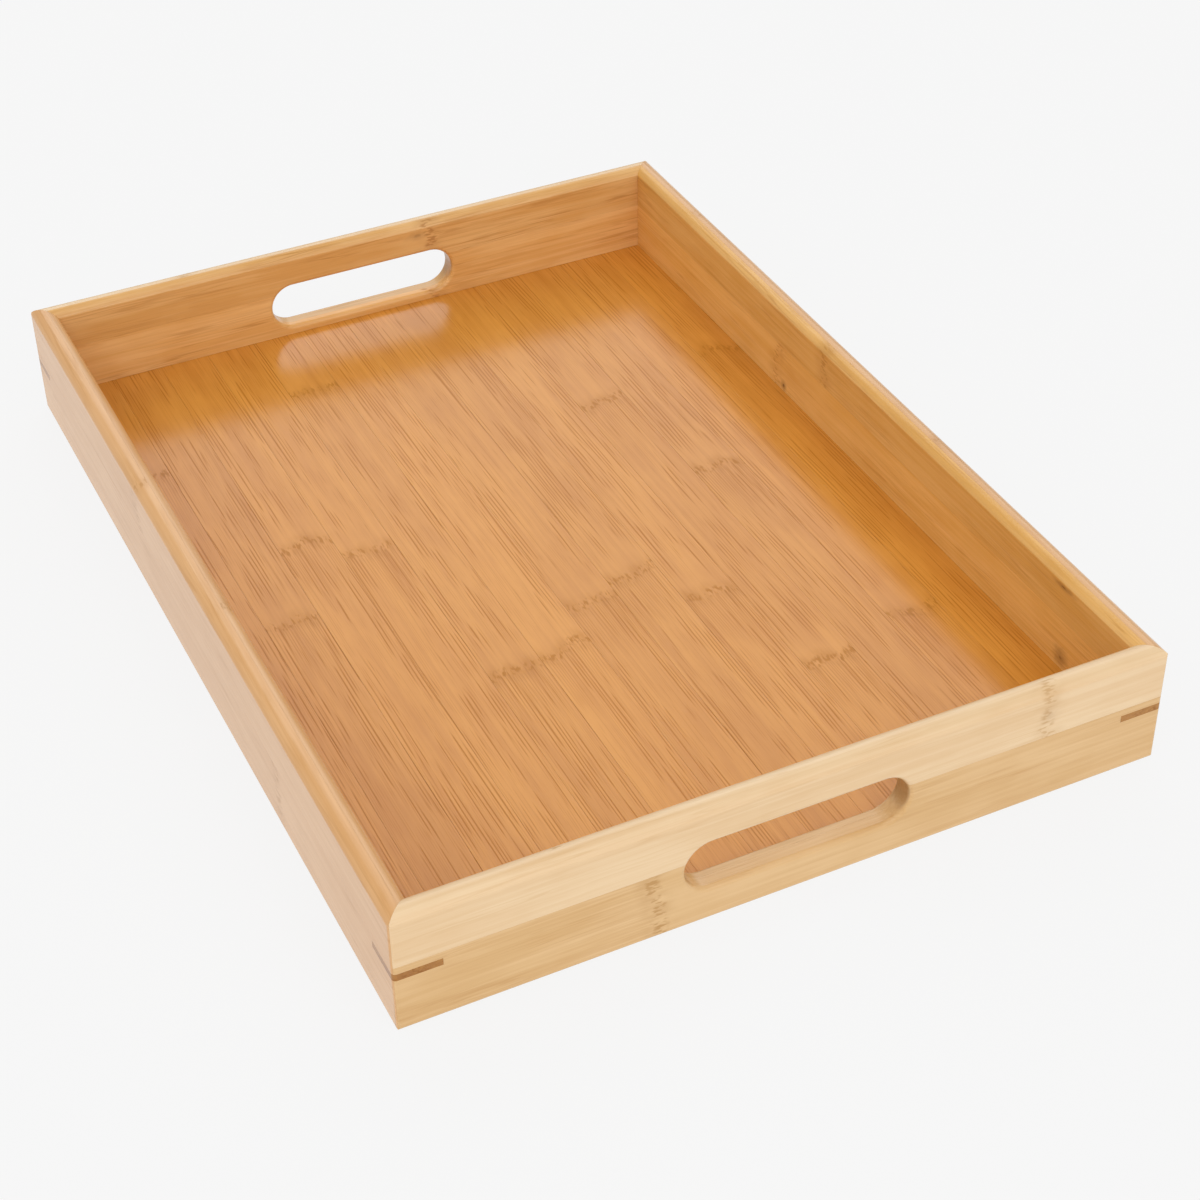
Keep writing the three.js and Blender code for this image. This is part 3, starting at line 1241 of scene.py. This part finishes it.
def set_up(name: str, fitting: bpy.types.ID, place: Vector, away: Vector, roll: float = 0.0) -> Piece:
    """Stands a camera or a lamp in the scene, so that it looks back at the tray.

    Args:
        name: The stand's name.
        fitting: The camera or lamp.
        place: Where it stands.
        away: The direction from what it looks at.
        roll: Its turn about its own axis in degrees.

    Returns:
        The stand.
    """
    stand = bpy.data.objects.new(name, fitting)
    facing = (-away).to_track_quat("-Z", "Y").to_matrix().to_4x4()
    stand.matrix_world = Matrix.Translation(place) @ facing @ Matrix.Rotation(math.radians(roll), 4, "Z")
    bpy.context.scene.collection.objects.link(stand)
    return stand


@dataclass(frozen=True)
class Viewpoint:
    """Where the camera stands: angles in degrees, lengths in metres."""

    azimuth: float = -25.38
    elevation: float = 38.22
    roll: float = -0.90
    distance: float = 0.9583
    aim: tuple[float, float, float] = (-0.0043, -0.0600, 0.025)
    lens_mm: float = 73.7
    sensor_mm: float = 36.0

    def place(self) -> None:
        """Makes the camera and makes it the scene's."""
        away = away_from_tray(self.azimuth, self.elevation)
        camera = bpy.data.cameras.new("camera")
        camera.lens = self.lens_mm
        camera.sensor_width = self.sensor_mm
        place = Vector(self.aim) + away * self.distance
        bpy.context.scene.camera = set_up("camera", camera, place, away, self.roll)


@dataclass(frozen=True)
class Softbox:
    """A rectangular lamp aimed at the tray: angles in degrees, lengths in metres."""

    name: str
    azimuth: float
    elevation: float
    distance: float
    width: float
    height: float
    radiance: float

    def place(self) -> None:
        """Hangs the lamp."""
        lamp = bpy.data.lights.new(self.name, "AREA")
        lamp.shape = "RECTANGLE"
        lamp.size = self.width
        lamp.size_y = self.height
        lamp.energy = math.pi * self.radiance * self.width * self.height
        away = away_from_tray(self.azimuth, self.elevation)
        set_up(self.name, lamp, away * self.distance, away)


@dataclass(frozen=True)
class Studio:
    """A pale table lit from below, under soft light."""

    floor_size: float = 8.0
    floor_colour: Colour = (0.07, 0.07, 0.07)
    floor_glow: float = 0.855
    sky_strength: float = 0.5
    lamps: tuple[Softbox, ...] = (
        Softbox("overhead_softbox", -20, 65, distance=2.5, width=2.5, height=2.5, radiance=0.9),
        Softbox("front_softbox", 0, 25, distance=2.5, width=3.0, height=2.2, radiance=1.0),
        Softbox("left_softbox", -90, 30, distance=2.5, width=2.5, height=2.0, radiance=0.62),
        Softbox("back_softbox", 155, 38, distance=3.0, width=3.2, height=2.2, radiance=1.35),
    )

    def build(self) -> None:
        """Makes the floor, the sky and the lamps."""
        self._floor()
        world = bpy.data.worlds.new("studio_sky")
        world.use_nodes = True
        sky = world.node_tree.nodes["Background"]
        sky.inputs["Color"].default_value = (1, 1, 1, 1)
        sky.inputs["Strength"].default_value = self.sky_strength
        bpy.context.scene.world = world
        bpy.context.scene.view_settings.view_transform = "Standard"
        for lamp in self.lamps:
            lamp.place()

    def _floor(self) -> None:
        """Lays the floor that the tray stands on."""
        deselect_all()
        bpy.ops.mesh.primitive_plane_add(size=self.floor_size, location=(0, 0, 0))
        floor = bpy.context.active_object
        floor.name = "studio_floor"
        bench = ShaderBench("studio_floor")
        shader = bench.node("ShaderNodeBsdfPrincipled", {
            "Base Color": self.floor_colour,
            "Roughness": 0.9,
            "Specular IOR Level": 0.0,
            "Emission Color": (1, 1, 1),
            "Emission Strength": self.floor_glow,
        })
        bench.node("ShaderNodeOutputMaterial", {"Surface": shader.outputs["BSDF"]})
        floor.data.materials.append(bench.material)


# ---- The tray's strips, one by one ----

OUTER_UPPER, OUTER_LOWER, INNER_UPPER, INNER_LOWER = ((ply, level) for ply in Ply for level in Level)

RAIL_LOOKS: dict[Side, dict[tuple[Ply, Level], tuple[BambooTone, StripGrain]]] = {
    Side.FRONT: {
        OUTER_UPPER: (PALE, StripGrain(1.0, (102,), knots=(Knot(102, 40, 3.6, depth=0.18),))),
        OUTER_LOWER: (HONEY, StripGrain(2.0, (-56,))),
        INNER_UPPER: (PALE, StripGrain(3.0, (-90,))),
        INNER_LOWER: (HONEY, StripGrain(4.0, (70,))),
    },
    Side.RIGHT: {
        OUTER_UPPER: (TAWNY, StripGrain(5.0, (-60, 150), shade=0.96)),
        OUTER_LOWER: (HONEY, StripGrain(6.0, (20,))),
        INNER_UPPER: (TOFFEE, StripGrain(7.0, (22,), 0.97, (Knot(-158, 47.5, 1.1, stretch=5.0),))),
        INNER_LOWER: (TOFFEE, StripGrain(8.0, (60,), 1.08, (Knot(-161, 16, 3.6), Knot(55, 14, 2.0)))),
    },
    Side.BACK: {
        OUTER_UPPER: (PALE, StripGrain(9.0, (80,))),
        OUTER_LOWER: (HONEY, StripGrain(10.0, (-100,))),
        INNER_UPPER: (AMBER, StripGrain(
            11.0, (-33,), knots=(Knot(-28, 46, 1.8, stretch=2.2, depth=0.45),))),
        INNER_LOWER: (AMBER, StripGrain(12.0, (-33,), shade=1.08)),
    },
    Side.LEFT: {
        OUTER_UPPER: (TAWNY, StripGrain(13.0, (-60,))),
        OUTER_LOWER: (TAWNY, StripGrain(14.0, (100,))),
        INNER_UPPER: (TAWNY, StripGrain(15.0, (30,), shade=0.97)),
        INNER_LOWER: (AMBER, StripGrain(16.0, (-120,))),
    },
}

BASE_GRAINS = (
    StripGrain(21.0, (120,), shade=0.96),
    StripGrain(22.0, (-3,), shade=0.97),
    StripGrain(23.0, (42,)),
    StripGrain(24.0, (30,), shade=1.01),
    StripGrain(25.0, (152, -67)),
    StripGrain(26.0, (-65,), shade=1.02),
    StripGrain(27.0, (-43,)),
    StripGrain(28.0, (-35,), shade=0.99),
    StripGrain(29.0, (-59,)),
    StripGrain(30.0, (83, -116), shade=0.99),
    StripGrain(31.0, (17,), shade=0.975),
    StripGrain(32.0, (-105,)),
    StripGrain(33.0, (98,), shade=1.02),
)


def main() -> None:
    """Builds the studio and the tray."""
    logging.basicConfig(level=logging.INFO, format="%(name)s: %(message)s")
    Viewpoint().place()
    Studio().build()
    sizes = TraySizes.from_frame()
    pieces = []
    for sides in ((Side.FRONT, Side.BACK), (Side.RIGHT, Side.LEFT)):
        pattern = RailPattern(sizes, sides[0].is_short).build()
        for side in sides:
            pieces += Rail(side, pattern, RAIL_LOOKS[side]).build()
        for strip in pattern.values():
            remove(strip)
    pieces += BasePanel(sizes, BASE_GRAINS).build()
    pieces += CornerKeys(sizes).build()
    for piece in pieces:
        LOG.info("%s: %d faces", piece.name, len(piece.data.polygons))


if __name__ == "__main__":
    main()
